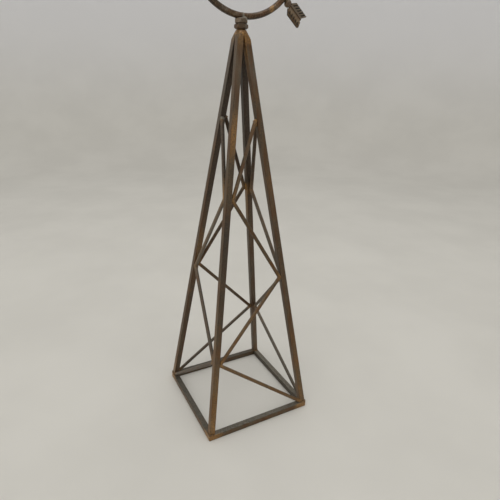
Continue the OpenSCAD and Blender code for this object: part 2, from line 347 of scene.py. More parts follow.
def leg_edge(s):
    """Distance from a point on a leg to the nearest edge of its tube."""
    reach = s.minus(HALF_BASE, s.times(s.z, TAPER))
    gaps = []
    for along in (s.x, s.y):
        across = s.minus(reach, s.size(along))
        gaps.append(s.math("MINIMUM", across, s.minus(TUBE, across)))
    return s.math("MAXIMUM", gaps[0], gaps[1])


def rail_edge(s):
    """Distance from a point on the base frame to the nearest edge of its tube."""
    reach = s.math("MAXIMUM", s.size(s.x), s.size(s.y))
    across = s.minus(HALF_BASE, reach)
    gap = s.math("MINIMUM", across, s.minus(TUBE, across))
    rise = s.math("MINIMUM", s.z, s.minus(TUBE, s.z))
    return s.math("MAXIMUM", gap, rise)


def outward(s):
    """1 where a surface faces away from the obelisk's axis, -1 where it faces the inside."""
    across = s.times(s.nx, s.math("SIGN", s.x))
    return s.add(across, s.times(s.ny, s.math("SIGN", s.y)))


def face_masks(s):
    """How far a surface faces each way across the obelisk, from 0 to 1."""
    ways = {"-x": (s.nx, -1), "+x": (s.nx, 1), "-y": (s.ny, -1), "+y": (s.ny, 1)}
    return {face: s.ramp(axis, 0.45 * way, 0.8 * way) for face, (axis, way) in ways.items()}


def leg_material(name, shift, bronze, gold, tone):
    """A leg's finish. bronze, gold and tone give each face's (height, share) stops."""
    plain_bronze = ((0.05, 0.95), (0.3, 0.75), (0.6, 0.5), (1.0, 0.65), (1.26, 0.95))
    plain_gold = ((0.02, 0.4), (0.14, 0.05), (0.3, 0), (1.24, 0), (1.28, 0.5))

    def by_face(s, stops, plain):
        """Level of the face that a point lies on, where a face without stops takes the plain ones."""
        total = 0.0
        for face, mask in face_masks(s).items():
            total = s.add(total, s.times(mask, s.along(s.z, stops.get(face, plain))))
        return total

    def rub(s):
        return by_face(s, bronze, plain_bronze)

    def golden(s):
        patchy = s.ramp(s.noise(30, 3, (1, 1, 0.25), shift), 0.3, 0.6, 0.3, 1)
        rim = s.ramp(s.add(s.z, s.times(s.noise(60, 3), 0.03)), TIP_Z, TIP_Z + 0.012)
        return s.add(s.times(by_face(s, gold, plain_gold), patchy), s.times(rim, 0.8))

    def shade(s):
        return by_face(s, tone, ((0, 0.0),))

    return patina(name, rub, golden, shade, grain=(2.2, 2.2, 0.12), shift=shift, edge=leg_edge)


def rail_material(name, shift, inner, dust, tone):
    """A base rail's finish: inner is the bronze on its inside face, dust what lies on its top.

    tone is how much lighter or darker its top is. Its sides darken over their lowest 3 mm: a painted contact
    shadow.
    """

    def rub(s):
        side = s.minus(1.0, s.size(s.nz))
        on_side = s.times(side, s.ramp(outward(s), -0.2, 0.6, inner, 1))
        return s.add(on_side, s.times(s.ramp(s.nz, 0.5, 0.9), 0.25))

    def gold(s):
        shorter = s.math("MINIMUM", s.size(s.x), s.size(s.y))
        ragged = s.add(shorter, s.times(s.noise(60, 3), 0.03))
        corner = s.ramp(ragged, HALF_BASE - 0.045, HALF_BASE - 0.01)
        return s.times(corner, s.ramp(outward(s), -0.2, 0.6), 0.8)

    def shade(s):
        top = s.ramp(s.nz, 0.5, 0.9)
        # Painted contact shadow along the foot of the sides
        foot_shadow = s.times(s.ramp(s.z, 3 * MM, 0, 0, -0.5), s.minus(1.0, top))
        return s.add(foot_shadow, s.times(top, tone))

    return patina(name, rub, gold, shade, GREEN_COAT, dust=dust, shift=shift, edge=rail_edge)


def rod_material(name, face, shift, inner, worn, golden, tone):
    """Finish of a zigzag rod, rubbed on the side that faces out of its face of the obelisk.

    inner is the bronze on the other side. worn, golden and tone are (height, share) stops: how much of
    the bronze there is, the gold, and how much lighter or darker the rod is.
    """

    def rub(s):
        out = s.add(s.times(s.nx, face.x), s.times(s.ny, face.y), s.times(s.nz, 0.35))
        return s.times(s.ramp(out, -0.45, 0.55, inner, 1), s.along(s.z, worn))

    def gold(s):
        reach = s.minus(HALF_BASE - TUBE, s.times(s.z, TAPER))
        along = s.add(s.times(s.x, abs(face.y)), s.times(s.y, abs(face.x)))
        gap = s.minus(reach, s.size(along))
        bends = s.ramp(s.add(gap, s.times(s.noise(90, 2), 0.012)), 0.006, 0.026, 0.55, 0)
        return s.add(bends, s.along(s.z, golden))

    def shade(s):
        return s.along(s.z, tone)

    return patina(name, rub, gold, shade, dust=0.22, shift=shift)


def ring_material():
    """Finish of the rings and the arrow's rod: golden patches on an olive coat, with painted shade below and
    painted shade along the top.
    """

    def rub(s):
        return s.ramp(s.noise(26, 3, shift=5), 0.3, 0.6, 0.4, 0.9)

    def gold(s):
        spots = s.ramp(s.noise(16, 3, shift=9.0), 0.58, 0.70, 0, 0.5)
        # A worn mark on the lower half of the meridian ring, on the arrow's side
        aside = s.size(s.minus(s.x, RING_C.x + 0.5 * RING_R))
        low = s.ramp(s.z, RING_C.z, RING_C.z - 0.05)
        return s.add(spots, s.times(s.ramp(aside, 0.002, 0.011, 0.75, 0), low))

    def shade(s):
        cloudy = s.ramp(s.noise(40, 3, shift=2.0), 0.35, 0.7, -0.15, 0.25)
        # Painted shade: under darkens the downward faces, over paints a dark line along the top
        under = s.ramp(s.nz, -0.25, -0.7, 0, -0.65)
        over = s.ramp(s.nz, 0.55, 0.85, 0, -0.4)
        return s.add(cloudy, under, over)

    return patina("ring_tube", rub, gold, shade, dust=0.06, shift=5.0, gloss=0.2)


def nut_material():
    """Finish of the nuts, the stud and the balls. The boss nut is lighter than the lock nut below it."""

    def rub(s):
        return s.ramp(s.noise(120, 3), 0.35, 0.65, 0.45, 1)

    def gold(s):
        return s.times(s.ramp(s.noise(90, 3, shift=2), 0.55, 0.75), 0.35)

    def shade(s):
        return s.ramp(s.z, BOSS_NUT[0].z - 1 * MM, BOSS_NUT[0].z + 2 * MM, -0.12, 0.12)

    return patina("nut_steel", rub, gold, shade, coat=NUT_COAT, dust=0.2, shift=7.0, gloss=0.1)


def cast_material():
    """Finish of the flat cast arrow: worn light on what stands proud, with painted shade in the grooves, a
    painted shadow along the sleeve and a painted highlight on the raised parts of the upper side.
    """

    def by_height(s, *stops):
        """Smooth curve through (height in mm above the arrow's rod, in the ring's plane; level) stops."""
        east = s.times(s.minus(s.x, RING_C.x), math.sin(ARROW_TILT))
        height = s.add(east, s.times(s.minus(s.z, RING_C.z), math.cos(ARROW_TILT)))
        return s.along(height, [(mm * MM, level) for mm, level in stops])

    def proud(s):
        return s.ramp(s.size(s.y), 1.25 * MM, 2.4 * MM)

    def rub(s):
        return s.add(s.times(proud(s), 0.9), 0.1)

    def gold(s):
        return s.times(proud(s), by_height(s, (-16, 0), (-11, 0.35), (-2, 0.35), (0, 0)))

    def shade(s):
        # Painted shade in the grooves and a painted shadow along the sleeve's middle; upper paints a
        # highlight on the raised parts from the lower feather's root up
        groove_shade = s.minus(s.times(proud(s), 0.7), 0.7)
        sleeve_shadow = by_height(s, (-2.5, 0), (-1, -0.85), (2.2, -0.85), (3.6, 0))
        upper = by_height(s, (-15, 0.02), (-11, 0.3), (4.6, 0.33), (9.4, 0.25))
        return s.add(groove_shade, sleeve_shadow, s.times(proud(s), upper))

    return patina("arrow_metal", rub, gold, shade, dust=0.2, shift=8.0)


def weld_material(name, colour, gold_share, bronze=1.0, light=0.0, fade=None):
    """Weld metal under the lacquer: lumpy, with dark pits of slag.

    bronze and gold_share say how much of each shows, and light how much paler the metal is. fade is two
    heights: the gold is weak below the first and full above the second.
    """

    def rub(s):
        return s.ramp(s.noise(200, 3), 0.3, 0.6, 0.6 * bronze, bronze)

    def gold(s):
        patchy = s.times(s.ramp(s.noise(150, 3), 0.35, 0.6, 0.2, 1), gold_share)
        return s.times(patchy, s.ramp(s.z, fade[0], fade[1], 0.35, 1)) if fade else patchy

    def shade(s):
        return s.ramp(s.cells(330), 0.14, 0.30, light - 0.55, light)

    return patina(name, rub, gold, shade, (colour, BROWN_COAT[1]), dust=0.12, shift=4.0, gloss=0.08)


def floor_material():
    """Pale matt plaster, a little lighter up the wall."""
    s = Shader("floor")
    tone = s.noise(1.6, 3)
    colour = s.mix(s.ramp(tone, 0.3, 0.7), srgb("#d6d4cd"), srgb("#dcdad3"))
    colour = s.mix(s.ramp(s.z, 0.3, 2.6), colour, srgb("#ececee"))
    return s.finish(colour, 0.85, s.noise(60, 2), 0.2 * MM, specular=0.25)


# ---------- mesh helpers ----------

def new_piece(name, verts, faces, material, body, slot, stands_for=()):
    """A smooth mesh with its material, which rides on a body and may stand for CAD nodes. slot is not used.
    """
    mesh = bpy.data.meshes.new(name)
    mesh.from_pydata([tuple(v) for v in verts], [], faces)
    mesh.validate()
    made = bmesh.new()
    made.from_mesh(mesh)
    bmesh.ops.recalc_face_normals(made, faces=made.faces)
    made.to_mesh(mesh)
    made.free()
    mesh.shade_smooth()
    mesh.materials.append(material)
    piece = add_object(name, mesh)
    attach(piece, body)
    if stands_for:
        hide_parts(*stands_for)
    return piece


def rows_to_faces(rows, sides, closed=False):
    """Faces between rows of vertices that each go round in a loop, with end caps unless closed."""
    faces = []
    for i in range(rows if closed else rows - 1):
        a, b = i * sides, (i + 1) % rows * sides
        for j in range(sides):
            k = (j + 1) % sides
            faces.append((a + j, a + k, b + k, b + j))
    if not closed:
        faces.append(tuple(range(sides)))
        faces.append(tuple(range((rows - 1) * sides, rows * sides)))
    return faces


def resample(points, step, closed):
    """Points at an even spacing of about step along a line or a loop."""
    line = [Vector(p) for p in points]
    if closed:
        line.append(line[0])
    lengths = [(b - a).length for a, b in zip(line, line[1:])]
    total = sum(lengths)
    count = max(4, round(total / step))
    spots = []
    for i in range(count if closed else count + 1):
        left = total * i / count
        k = 0
        while k < len(lengths) - 1 and left > lengths[k]:
            left -= lengths[k]
            k += 1
        spots.append(line[k].lerp(line[k + 1], min(1.0, left / lengths[k])))
    return spots, total


BEAD_STEP = 0.8 * MM
BEAD_SIDES = 10


def bead(points, normal, radius, wide=1.0, closed=False, seed=0.0, ripple=0.10):
    """Weld bead along points on a surface that faces normal: its vertices and faces.

    wide stretches it across the surface, and ripple is the share that its ripples rise and fall by.
    """
    pitch = 2.4 * MM
    spots, total = resample(points, BEAD_STEP, closed)
    normal = Vector(normal).normalized()
    count = len(spots)
    verts = []
    for i, spot in enumerate(spots):
        behind = spots[i - 1] if i > 0 or closed else spot
        ahead = spots[(i + 1) % count] if i < count - 1 or closed else spot
        along = (ahead - behind).normalized()
        side = normal.cross(along).normalized()
        walked = total * i / (count if closed else count - 1)
        size = 1 - ripple + 2 * ripple * abs(math.sin(math.pi * walked / pitch))
        size += 0.22 * noise.noise(spot * 260 + Vector((seed, 0, 0)))
        if not closed:
            size *= rounded(min(walked, total - walked) / (1.2 * radius), 0.04)
        for turn in turns(BEAD_SIDES):
            offset = side * math.cos(turn) * wide + normal * math.sin(turn)
            verts.append(spot + offset * radius * size)
    return verts, rows_to_faces(count, BEAD_SIDES, closed)


def ellipse(centre, first, second):
    """Loop of points around a centre, with half axes first and second."""
    return [centre + first * math.cos(turn) + second * math.sin(turn) for turn in turns(36)]


def joined(parts):
    """One list of vertices and faces from several."""
    verts, faces = [], []
    for part_verts, part_faces in parts:
        start = len(verts)
        verts.extend(part_verts)
        faces.extend(tuple(start + i for i in face) for face in part_faces)
    return verts, faces


def lathe(profile, sides, place):
    """Solid of revolution about the X axis of a place, from (x, radius) points, closed at both ends."""
    verts = []
    for along, radius in profile:
        for turn in turns(sides):
            verts.append(place @ Vector((along, radius * math.cos(turn), radius * math.sin(turn))))
    return verts, rows_to_faces(len(profile), sides)


# ---------- frame: legs, rails and rods ----------

# Each leg's pattern shift, then the (height, share) stops of its bronze, gold and tone on its faces
LEG_LOOKS = {
    "leg_front_left": (0.0, {
        "-y": ((0.05, 1), (0.3, 0.85), (0.5, 0.5), (0.7, 0.3), (0.85, 0.8), (0.97, 1), (1.1, 0.8), (1.25, 1)),
        "-x": ((0.05, 1), (0.3, 0.95), (0.6, 0.9), (1.05, 0.75), (1.25, 0.8)),
    }, {
        "-y": ((0.03, 0.7), (0.16, 0.35), (0.34, 0), (0.9, 0), (1.0, 0.6), (1.05, 0.55), (1.09, 0),
               (1.235, 0), (1.27, 0.45), (1.285, 0.6)),
        "-x": ((0.02, 0.35), (0.12, 0.1), (0.3, 0.12), (0.5, 0)),
    }, {
        "-x": ((0.4, 0.02), (0.6, -0.25), (0.85, 0), (1.03, -0.05), (1.15, 0.08)),
        "-y": ((0.35, 0), (0.5, -0.12), (0.7, -0.12), (0.85, 0), (1.1, 0.03), (1.2, 0.12), (1.26, 0)),
    }),
    "leg_front_right": (1.3, {
        "-y": ((0.05, 1), (0.2, 0.95), (0.4, 0.95), (0.6, 0.7), (0.85, 0.95), (1.2, 0.8), (1.25, 0.9)),
        "-x": ((0.05, 0.9), (0.6, 0.6), (0.85, 0.8), (1.2, 1)),
    }, {
        "-y": ((0.02, 0.5), (0.1, 0.3), (0.26, 0.15), (0.4, 0), (1.25, 0), (1.268, 0.7)),
        "-x": ((0.02, 0.2), (0.2, 0), (1.15, 0), (1.2, 0.3), (1.235, 0.9)),
    }, {
        "-y": ((1.1, 0), (1.18, 0.12), (1.26, 0)),
        "-x": ((1.1, -0.1), (1.2, 0)),
    }),
    "leg_back_right": (2.7, {
        "-x": ((0.1, 0.9), (0.35, 0.5), (0.66, 0.55), (0.71, 1), (0.79, 1), (0.84, 0.7), (0.95, 0.5),
               (1.1, 0.15)),
        "-y": ((0.1, 0.9), (0.3, 0.6), (0.6, 0.65), (0.9, 0.3), (1.1, 0.2)),
    }, {
        "-x": ((0.66, 0), (0.72, 0.4), (0.79, 0.6), (0.81, 0.6), (0.83, 0)),
        "-y": ((0.02, 0.3), (0.12, 0), (0.775, 0), (0.79, 0.5), (0.815, 0.5), (0.83, 0)),
    }, {
        "-x": ((0.08, -0.4), (0.3, 0), (0.6, -0.02), (0.7, 0), (1.0, -0.1), (1.1, -0.28)),
        "-y": ((0.15, 0.12), (0.4, 0)),
    }),
    "leg_back_left": (4.1, {
        "-x": ((0.05, 0.9), (0.3, 1), (0.6, 0.95), (0.85, 0.75), (1.1, 0.35)),
        "-y": ((0.05, 0.7), (0.3, 0.6), (0.5, 0.8), (0.62, 1), (0.72, 0.6), (0.8, 0.25), (1.1, 0.2)),
    }, {
        "-y": ((0.5, 0), (0.6, 0.3), (0.7, 0)),
    }, {
        "-x": ((0.04, 0.2), (0.12, -0.1), (0.3, -0.3), (0.6, -0.2), (0.85, 0), (1.1, 0.12)),
    }),
}
# Each rail's pattern shift, bronze on its inside face, dust on its top, and its top's tone
RAIL_LOOKS = {
    "front": (2.0, 0.25, 0.34, 0),
    "right": (3.4, 0.3, 0.38, 0.04),
    "back": (5.2, 0.7, 0.16, -0.12),
    "left": (6.6, 0.25, 0.18, -0.2),
}
# Each rod's bronze on its inner side, then the (height, share) stops of its bronze, gold and tone
ROD_LOOKS = {
    "front": (0.3, ((0, 1),), ((0.05, 0.2), (0.27, 0.2), (0.6, 0)),
              ((0.2, 0), (0.4, 0), (0.6, -0.12), (0.9, 0.05))),
    "right": (0.5, ((0.2, 0.3), (0.3, 0.9)), ((0, 0),),
              ((0.1, 0.1), (0.3, 0.14), (0.7, 0.16), (0.8, 0.08), (0.9, -0.12))),
    "back": (0.7, ((0.25, 0.5), (0.3, 1)), ((0.27, 0), (0.5, 0.12), (0.7, 0)),
             ((0.25, 0.05), (0.4, -0.12), (0.8, -0.2), (0.9, -0.6))),
    "left": (0.3, ((0, 0.4), (0.45, 0.4), (0.55, 0.9), (0.82, 0.9), (0.9, 0.3)), ((0, 0),),
             ((0.1, 0.1), (0.3, 0.05), (0.5, 0), (0.56, 0.2), (0.75, 0.26), (0.88, 0.04))),
}


def finish_frame():
    """Gives the frame's tubes and rods their materials."""
    for node, (shift, bronze, gold, tone) in LEG_LOOKS.items():
        set_material(node, leg_material(node, shift, bronze, gold, tone))
    for side, (shift, inner, dust, tone) in RAIL_LOOKS.items():
        set_material("base_rail_" + side, rail_material("rail_" + side, shift, inner, dust, tone))
    for index, (side, (inner, worn, golden, tone)) in enumerate(ROD_LOOKS.items()):
        face = Matrix.Rotation(math.radians(RODS[side][2]), 3, "Z") @ Vector((0, -1, 0))
        finish = rod_material("rod_" + side, face, 1.7 * index, inner, worn, golden, tone)
        set_material("zigzag_" + side, finish)


def set_material(node, material):
    """Puts a material on a CAD node."""
    slots = NODES[node].material_slots
    for slot in slots:
        slot.material = material
    if not slots:
        NODES[node].data.materials.append(material)


def rod_corners(heights, side):
    """Corners of a rod's centre line in the front face, from its foot to its square top end."""
    cos_lean = math.cos(math.atan(TAPER))
    flat = []
    for height in heights:
        flat.append(Vector((side * (half_w(height) - TUBE), height / cos_lean)))
        side = -side
    steps = [(b - a).normalized() for a, b in zip(flat, flat[1:])]
    corners = [p.copy() for p in flat]
    for i in range(1, len(flat) - 1):
        bend = BEND_R * (1 / math.cos(steps[i - 1].angle(steps[i]) / 2) - 1)
        corners[i].x -= math.copysign(ROD_R + BEND_GAP - bend, flat[i].x)
    up_leg = Vector((-math.copysign(TAPER * cos_lean, flat[-1].x), 1))
    corners[-1] -= steps[-1] * (ROD_R / math.tan(steps[-1].angle(up_leg)) - END_LAP)
    return [Vector((p.x, ROD_INSET - half_w(p.y * cos_lean), p.y * cos_lean)) for p in corners]


def lumpy(verts, centre, share, seed):
    """Pushes points out from or in towards a centre, at random but smoothly."""
    return [v + (v - centre) * share * noise.noise(v * 170 + Vector((seed, 0, 0))) for v in verts]


# Half width of a plain weld bead
BEAD_R = 1.7 * MM


def weld_cap(end, run, leg, reach, seed):
    """Dome of weld metal on a rod's square end, which faces along run. It leans to the leg.

    reach is its height, and the profile's points are shares of its height and of the rod's radius.
    """
    profile = (
        (-0.10, 0.3), (-0.03, 1), (0, 1.08), (0.3, 1.05), (0.55, 0.93), (0.8, 0.66), (0.94, 0.36), (1, 0.08)
    )
    place = Matrix.Translation(end) @ run.to_track_quat("X", "Z").to_matrix().to_4x4()
    verts, faces = lathe([(along * reach, ROD_R * out) for along, out in profile], 28, place)
    drawn = [v + leg * 0.5 * max(0.0, (v - end).dot(run)) for v in verts]
    return lumpy(drawn, end, 0.2, seed), faces


def top_weld(contact, up, face, end, run, reach, seed):
    """Cap on a rod's top end, and a short fillet down the leg below it."""
    fillet = bead([contact - up * 14 * MM, contact], face, BEAD_R, seed=seed)
    leg = (run * up.dot(run) - up).normalized()
    return joined([weld_cap(end, run, leg, reach, seed), fillet])


def collar(contact, up, face, long, deep, radius, seed):
    """Bead round the patch where a rod touches its leg: long and deep are the patch's half axes."""
    loop = ellipse(contact, up * long, up.cross(face) * deep)
    loop = [Vector((p.x, p.y, max(p.z, TUBE + 1 * MM))) for p in loop]
    return bead(loop, face, radius, wide=1.1, closed=True, seed=seed)


def make_rod_welds(brown, bright, dull):
    """Weld at each place where a rod meets a leg: a collar at its foot and bends, a cap on its top end."""
    # Each rod's cap: its metal and its height in mm
    caps = {"front": (bright, 10.5), "right": (brown, 10.5), "back": (brown, 10.5), "left": (dull, 16)}
    for name, (heights, side, angle) in RODS.items():
        turned = Matrix.Rotation(math.radians(angle), 4, "Z")
        corners = rod_corners(heights, side)
        first_run = (corners[1] - corners[0]).normalized()
        last_run = (corners[-1] - corners[-2]).normalized()
        for i, corner in enumerate(corners):
            leg_side = math.copysign(1, corner.x)
            # Where the rod touches, and the directions up the leg and out of its face
            contact = Vector((leg_side * (half_w(corner.z) - TUBE), corner.y, corner.z))
            up = Vector((-leg_side * TAPER, TAPER, 1)).normalized()
            face = Vector((-leg_side, 0, -TAPER)).normalized()
            spot = (contact, up, face)
            finish = brown
            place = f"bend_{i}"
            if i == 0:
                place = "foot"
                long = ROD_R / abs(first_run.dot(face)) + 0.3 * MM
                verts, faces = collar(*spot, long, ROD_R + 0.4 * MM, BEAD_R, angle)
            elif i == len(corners) - 1:
                place = "top"
                finish, reach = caps[name]
                verts, faces = top_weld(*spot, corner, last_run, reach * MM, angle)
            elif name == "back" and i == 3:
                # The one heavy collar
                finish = bright
                verts, faces = collar(*spot, 9.5 * MM, 5.6 * MM, 3.0 * MM, i + angle)
            else:
                verts, faces = collar(*spot, 8 * MM, 4.4 * MM, BEAD_R, i + angle)
            verts = [turned @ v for v in verts]
            new_piece(f"weld_{name}_{place}", verts, faces, finish, "frame", "weld_metal")


def in_corner(point):
    """A point in the +X +Y corner, held just inside the base frame's ground outline."""
    centre = HALF_BASE - CORNER_R
    across = Vector((max(0.0, point.x - centre), max(0.0, point.y - centre)))
    limit = CORNER_R - 0.15 * MM
    if across.length <= limit:
        return point
    pulled = across * (1 - limit / across.length)
    return Vector((point.x - pulled.x, point.y - pulled.y, point.z))


def make_foot_welds(material):
    """Ground welds that blend each leg into the corner of the base frame, and two fillets behind it."""
    ledge = HALF_BASE - 1.5 * MM
    back = HALF_BASE - TUBE - 1 * MM
    leg_inside = HALF_BASE - TUBE - TAPER * TUBE + 0.3 * MM
    bend = HALF_BASE - CORNER_R
    around = []
    for i in range(5):
        turn = math.pi / 2 * i / 4
        around.append((bend + (ledge - bend) * math.sin(turn), bend + (ledge - bend) * math.cos(turn)))
    outer = [Vector((x, y, TUBE + 0.6 * MM)) for x, y in [(back, ledge)] + around + [(ledge, back)]]
    ends = (ledge - 1.5 * MM, back - 0.5 * MM)
    fillet = [Vector((leg_inside, y, TUBE + 0.4 * MM)) for y in ends]
    mirrored = [Vector((p.y, p.x, p.z)) for p in fillet]
    upright = (0, 0, 1)
    for name, sx, sy in (
        ("front_left", -1, -1), ("front_right", 1, -1), ("back_right", 1, 1), ("back_left", -1, 1)
    ):
        seed = 3 * sx + sy
        verts, faces = bead(outer, upright, 4.2 * MM, wide=0.5, seed=seed, ripple=0.03)
        verts, faces = joined([
            ([in_corner(v) for v in verts], faces),
            bead(fillet, upright, 2.1 * MM, seed=seed),
            bead(mirrored, upright, 2.1 * MM, seed=seed + 1),
        ])
        verts = [Vector((sx * v.x, sy * v.y, v.z)) for v in verts]
        new_piece("foot_weld_" + name, verts, faces, material, "frame", "weld_metal")


def make_tack(material):
    """Small weld that bridges the gap between the two front legs, a little below their tips."""
    z = 1.257
    reach = half_w(z) - TUBE + 0.6 * MM
    depth = 3 * MM - half_w(z)
    line = [(-reach, depth, z), (reach, depth, z - 1 * MM)]
    tack = bead(line, (0, -1, 0), 1.5 * MM, seed=8)
    new_piece("weld_leg_tack", *tack, material, "frame", "weld_metal")


# ---------- neck: leg tips, stud and nuts ----------

def make_tip_weld(material):
    """Pitted weld metal that closes the leg tips around the stud, and the grooves between them."""
    sides = 96
    # The cone that the leg tips are ground to: its radius at the top, and its slope
    cone_r = 15 * MM
    slope = 0.625
    # How far the metal swells out, and its height from the leg tips in mm
    side_rows = ((0.0, -14), (0.55, -11), (0.9, -8), (1.0, -5), (1.0, -3), (1.0, -1.2), (1.0, -0.2))
    # On top, from the rim in to the stud: radius and height in mm
    top_rows = ((14.2, 0.9), (13.2, 1.5), (STUD_R / MM - 0.3, 1.4))
    verts = []
    for swell, rise in side_rows:
        z = TIP_Z + rise * MM
        for turn in turns(sides):
            flat = half_w(z) / max(abs(math.cos(turn)), abs(math.sin(turn)))
            reach = min(cone_r - rise * MM * slope, flat)
            lump = noise.noise(polar(2.6, turn, z * 160))
            pit = max(0.0, noise.noise(polar(5.5, turn, z * 420) + Vector((7, 3, 0))) - 0.28)
            reach += (0.55 * swell - 0.7 * (1 - swell) + 0.5 * lump * swell - 3.2 * pit * swell) * MM
            verts.append(polar(reach, turn, z))
    for radius, rise in top_rows:
        for turn in turns(sides):
            lump = noise.noise(polar(3, turn, radius))
            verts.append(polar(radius * MM, turn, TIP_Z + (rise + 0.35 * lump) * MM))
    # Down along the stud, inside, to the lowest row again
    verts += [Vector((v.x, v.y, verts[0].z)) for v in verts[-sides:]]
    faces = rows_to_faces(len(verts) // sides, sides, closed=True)
    new_piece("tip_weld", verts, faces, material, "frame", "weld_metal", ["apex_weld"])


def make_stud(material):
    """Stud with a helical thread where it stands clear of the leg tips."""
    sides = 48
    pitch = 3 * MM
    depth = 1.4 * MM
    plain_step = 14 * MM
    rows = []
    z = STUD[0].z
    while z < STUD[1].z - 1e-6:
        rows.append(z)
        z += plain_step if z < TIP_Z - 16 * MM else pitch / 8
    rows.append(STUD[1].z)
    verts = []
    for z in rows:
        for j, turn in enumerate(turns(sides)):
            phase = (z / pitch - j / sides) % 1
            cut = depth * (1 - abs(2 * phase - 1)) if z > TIP_Z - 3 * MM else 0.0
            verts.append(polar(STUD_R - 0.1 * MM - cut, turn, z))
    faces = rows_to_faces(len(rows), sides)
    new_piece("threaded_stud", verts, faces, material, "frame", "nut_steel", ["apex_stud"])


def make_nut(name, node, turn_deg, material, body, saddle=False):
    """Hexagon nut with soft, painted-over edges, its flats turned from the front and back by turn_deg.

    A saddle lets the ring into its top.
    """
    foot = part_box(node)[0].z
    corner = NUT_APOTHEM / math.cos(math.radians(30))
    # The upper and lower corners are chamfered to a cone
    face_r = corner - 5 * MM
    cone_slope = 0.64
    soft = 1.1 * MM
    rim = 0.6 * MM
    sides = 120

    def outline(turn, z):
        """Radius of the nut's side, where a cone cuts the hexagon's corners and the two blend softly."""
        wedge = (turn - math.radians(turn_deg)) % math.radians(60) - math.radians(30)
        flat = NUT_APOTHEM / math.cos(wedge)
        cone = face_r + min(z, NUT_H - z) / cone_slope
        blend = max(0.0, 1 - abs(flat - cone) / soft)
        return min(flat, cone) - blend * blend * soft / 4

    steps = [0, 0.15, 0.5, 1, 1.7, 2.5, 3.4, 5, 7.25]
    levels = [h * MM for h in steps] + [NUT_H - h * MM for h in reversed(steps[:-1])]
    bore = STUD_R + 0.1 * MM
    # Rows from inside the bore round the outside and back into it: height, and radius unless on the side
    rows = [(rim, bore), (0.0, bore + rim)]
    rows += [(z, None) for z in levels]
    rows += [(NUT_H, bore + rim), (NUT_H - rim, bore)]
    verts = []
    for z, bore_r in rows:
        for turn in turns(sides):
            radius = bore_r
            if radius is None:
                radius = outline(turn, z) - (0.5 * MM if z in (0, NUT_H) else 0)
            spot = polar(radius, turn, foot + z)
            if saddle and abs(spot.y) < RING_TUBE_R:
                reach = RING_R + math.sqrt(RING_TUBE_R**2 - spot.y**2)
                spot.z = min(spot.z, RING_C.z - math.sqrt(reach**2 - (spot.x - RING_C.x) ** 2))
            verts.append(spot)
    faces = rows_to_faces(len(rows), sides, closed=True)
    new_piece(name, verts, faces, material, body, "nut_steel", [node])


# ---------- head: ring and arrow ----------

def make_butt_weld(material):
    """Low bead round the meridian ring where its tube's ends meet, just beside the stud."""
    joint_x = 3 * MM - RING_C.x
    lean = math.asin(joint_x / RING_R)
    radial = Vector((math.sin(lean), 0, -math.cos(lean)))
    around = Vector((math.cos(lean), 0, math.sin(lean)))
    centre = RING_C + radial * RING_R
    reach = RING_TUBE_R + 0.1 * MM
    half_width = 3.0 * MM
    rise = 0.9 * MM
    spots, _ = resample(ellipse(centre, radial * reach, Vector((0, reach, 0))), BEAD_STEP, True)
    verts = []
    for spot in spots:
        out = (spot - centre).normalized()
        size = 1 + 0.3 * noise.noise(spot * 240)
        for turn in turns(BEAD_SIDES):
            verts.append(spot + (around * math.cos(turn) * half_width + out * math.sin(turn) * rise) * size)
    faces = rows_to_faces(len(spots), BEAD_SIDES, True)
    new_piece("ring_butt_weld", verts, faces, material, "head", "weld_metal")


def make_saddle_weld(material):
    """Beads between the ring and its nut: one at the front with a run down the nut, and one behind."""
    boss_top = LOCK_NUT[1].z + NUT_H
    # Points in mm, with heights from the nut's top, then the surface's normal, the radius and the width
    beads = (
        (((-1, -8.6, 1.5), (6, -8.9, 1.2), (14, -8.8, 0.6)), (0, -0.5, 1), 2.6, 1.0),
        (((4, -9.5, 2.5), (6.5, -13.5, -0.2), (8.5, -17.4, -5), (9, -17.8, -8)), (0, -1, 0.6), 2.2, 1.5),
        (((-13, 8.7, 0.6), (0, 8.9, 1), (13, 8.7, 0.6)), (0, 0.5, 1), 2.5, 1.0),
    )
    parts = []
    for seed, (points, normal, radius, wide) in enumerate(beads, 1):
        line = [Vector((x * MM, y * MM, boss_top + rise * MM)) for x, y, rise in points]
        parts.append(bead(line, normal, radius * MM, wide=wide, seed=seed))
    new_piece("saddle_weld", *joined(parts), material, "head", "weld_metal")


def make_equator_welds(material):
    """Beads round the two places where the equatorial ring touches the meridian ring."""
    along = ARROW.to_3x3() @ Vector((1, 0, 0))
    across = ARROW.to_3x3() @ Vector((0, 0, 1))
    patch_r = 5.2 * MM
    for name, way in (("upper", 1), ("lower", -1)):
        spot = RING_C + across * way * (RING_R - RING_TUBE_R)
        loop = ellipse(spot, along * patch_r, Vector((0, patch_r, 0)))
        shape = bead(loop, across, 2.2 * MM, closed=True, seed=way)
        new_piece(f"equator_weld_{name}", *shape, material, "head", "weld_metal")


def make_balls(material):
    """The two balls that hold the arrow, each with a fine casting seam round its middle."""
    start = -math.acos(SHAFT_R / BALL_R)
    steps = 24
    for name, node, way in (("tail_ball_cast", "tail_ball", 1), ("point_ball_cast", "point_ball", -1)):
        profile = []
        for i in range(steps + 1):
            turn = start - 2 * start * i / steps
            seam = 0.25 * MM * max(0.0, 1 - abs(turn) / 0.08)
            along = BALL_AT + BALL_R * math.sin(turn)
            profile.append((along * way, BALL_R * math.cos(turn) + seam))
        verts, faces = lathe(profile, 64, ARROW)
        centre = ARROW @ Vector((way * BALL_AT, 0, 0))
        verts = [v + (v - centre) * 0.02 * noise.noise(v * 190) for v in verts]
        new_piece(name, verts, faces, material, "head", "nut_steel", [node])


